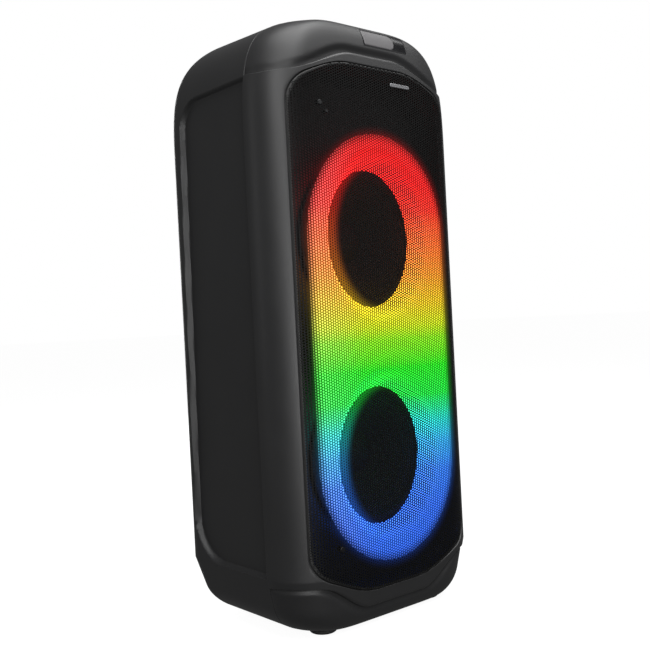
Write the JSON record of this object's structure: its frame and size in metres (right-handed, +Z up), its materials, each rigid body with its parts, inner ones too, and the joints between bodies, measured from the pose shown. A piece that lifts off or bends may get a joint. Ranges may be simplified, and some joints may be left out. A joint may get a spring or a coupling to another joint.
{
  "type": "party speaker",
  "caption": "Tall rounded party speaker with a wrapped grille, glowing light panel, stacked woofers, hand grip, top controls and rear sockets.",
  "frame": {"origin": "on the floor under the middle of the bounding box", "axes": "+Z up, -Y out of the grille (front), +X to the right of a viewer who faces the grille"},
  "size_m": [0.264, 0.2, 0.618],
  "materials": {
    "shell": "satin moulded plastic with a fine grain",
    "grille": "satin powder coat, perforated",
    "badge": "brushed",
    "light_diffuser": "frosted translucent",
    "circuit_board": "solder mask",
    "gloss_trim": "gloss",
    "bright_metal": "plated",
    "socket_plastic": "fine grain",
    "battery_wrap": "shrink wrap",
    "basket_steel": "powder coat",
    "magnet": "sintered ferrite",
    "rubber": "matte",
    "spider_cloth": "resin-dipped cloth",
    "cone_paper": "pressed pulp",
    "screw_steel": "zinc plated"
  },
  "bodies": {
    "cabinet": {"front_shell": "shell", "rear_shell": "shell", "display_window": "gloss_trim", "grille": "grille", "badge": "badge", "indicator_upper": "gloss_trim", "indicator_middle": "gloss_trim", "indicator_lower": "gloss_trim", "light_panel": "light_diffuser", "led_board": "circuit_board", "lower_basket": "basket_steel", "lower_magnet": "magnet", "lower_surround": "rubber", "lower_spider": "spider_cloth", "upper_basket": "basket_steel", "upper_magnet": "magnet", "upper_surround": "rubber", "upper_spider": "spider_cloth", "control_plate": "gloss_trim", "control_board": "circuit_board", "io_plate": "gloss_trim", "mic_jack": "bright_metal", "guitar_jack": "bright_metal", "aux_jack": "bright_metal", "usb_port": "bright_metal", "mains_inlet": "socket_plastic", "switch_frame": "socket_plastic", "bass_port": "socket_plastic", "battery_pack": "battery_wrap", "amplifier_board": "circuit_board", "power_supply": "bright_metal", "rear_screw_1": "screw_steel", "rear_screw_2": "screw_steel", "rear_screw_3": "screw_steel", "rear_screw_4": "screw_steel", "rear_screw_5": "screw_steel", "rear_screw_6": "screw_steel", "foot_front_left": "rubber", "foot_front_right": "rubber", "foot_rear_left": "rubber", "foot_rear_right": "rubber"},
    "lower_moving_cone": {"lower_cone": "cone_paper", "lower_dust_cap": "cone_paper"},
    "upper_moving_cone": {"upper_cone": "cone_paper", "upper_dust_cap": "cone_paper"},
    "volume_knob": {"volume_knob": "shell"},
    "mic_volume_knob": {"mic_volume_knob": "shell"},
    "guitar_volume_knob": {"guitar_volume_knob": "shell"},
    "power_rocker": {"power_rocker": "gloss_trim"},
    "button_1": {"button_1": "rubber"},
    "button_2": {"button_2": "rubber"},
    "button_3": {"button_3": "rubber"},
    "button_4": {"button_4": "rubber"},
    "button_5": {"button_5": "rubber"},
    "button_6": {"button_6": "rubber"}
  },
  "joints": [
    {"name": "lower_cone_travel", "type": "slide", "parent": "cabinet", "child": "lower_moving_cone", "axis": [0, -1, 0], "range_m": [-0.004, 0.004], "stiffness_N_per_m": 1800},
    {"name": "upper_cone_travel", "type": "slide", "parent": "cabinet", "child": "upper_moving_cone", "axis": [0, -1, 0], "range_m": [-0.004, 0.004], "stiffness_N_per_m": 1800},
    {"name": "volume_turn", "type": "hinge", "parent": "cabinet", "child": "volume_knob", "pos_m": [0, 0.022, 0.609], "axis": [0, 0, 1], "continuous": true},
    {"name": "button_1_press", "type": "slide", "parent": "cabinet", "child": "button_1", "axis": [0, 0, -1], "range_m": [0, 0.001], "stiffness_N_per_m": 400},
    {"name": "button_2_press", "type": "slide", "parent": "cabinet", "child": "button_2", "axis": [0, 0, -1], "range_m": [0, 0.001], "stiffness_N_per_m": 400},
    {"name": "button_3_press", "type": "slide", "parent": "cabinet", "child": "button_3", "axis": [0, 0, -1], "range_m": [0, 0.001], "stiffness_N_per_m": 400},
    {"name": "button_4_press", "type": "slide", "parent": "cabinet", "child": "button_4", "axis": [0, 0, -1], "range_m": [0, 0.001], "stiffness_N_per_m": 400},
    {"name": "button_5_press", "type": "slide", "parent": "cabinet", "child": "button_5", "axis": [0, 0, -1], "range_m": [0, 0.001], "stiffness_N_per_m": 400},
    {"name": "button_6_press", "type": "slide", "parent": "cabinet", "child": "button_6", "axis": [0, 0, -1], "range_m": [0, 0.001], "stiffness_N_per_m": 400},
    {"name": "mic_volume_turn", "type": "hinge", "parent": "cabinet", "child": "mic_volume_knob", "pos_m": [-0.036, 0.093, 0.145], "axis": [0, 1, 0], "range_deg": [-150, 150]},
    {"name": "guitar_volume_turn", "type": "hinge", "parent": "cabinet", "child": "guitar_volume_knob", "pos_m": [-0.012, 0.093, 0.145], "axis": [0, 1, 0], "range_deg": [-150, 150]},
    {"name": "power_rock", "type": "hinge", "parent": "cabinet", "child": "power_rocker", "pos_m": [0.022, 0.088, 0.112], "axis": [1, 0, 0], "range_deg": [-8, 8]}
  ]
}
